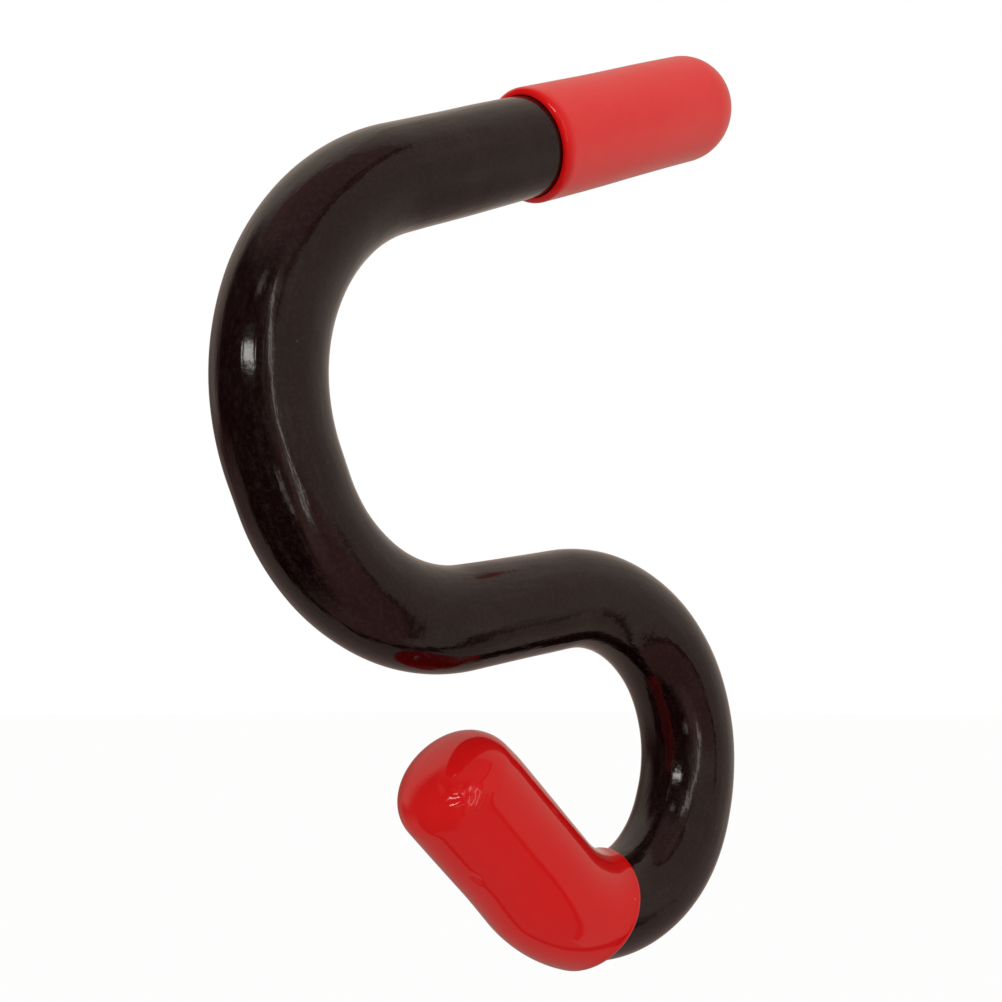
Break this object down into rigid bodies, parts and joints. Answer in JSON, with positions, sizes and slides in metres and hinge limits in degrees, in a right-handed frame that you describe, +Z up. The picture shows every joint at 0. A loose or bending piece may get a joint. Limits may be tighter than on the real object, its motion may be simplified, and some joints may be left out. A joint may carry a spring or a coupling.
{
  "type": "steering wheel lock hook bar",
  "caption": "Round steel bar bent into an S with a wide open hook and a tight one, in a glossy dark sleeve with soft red caps over both tips.",
  "frame": {"origin": "centre of the upper hook's bend, half way through the bar's thickness", "axes": "+Z up with the S standing upright, +X to the side the upper hook opens to, Y through the flat of the S"},
  "size_m": [0.1246, 0.0234, 0.1925],
  "materials": {
    "steel": "drawn and bent bar, ends chamfered",
    "sleeve_plastic": "glossy brown-black soft plastic with fine scratches",
    "cap_vinyl": "glossy soft red vinyl"
  },
  "bodies": {
    "hook": {"bar_core": "steel", "black_sleeve": "sleeve_plastic", "lower_end_cap": "cap_vinyl"},
    "upper_cap": {"upper_end_cap": "cap_vinyl"}
  },
  "joints": [
    {"name": "upper_cap_pull", "type": "slide", "parent": "hook", "child": "upper_cap", "axis": [0.9184, 0, 0.3955], "range_m": [0, 0.06]}
  ]
}
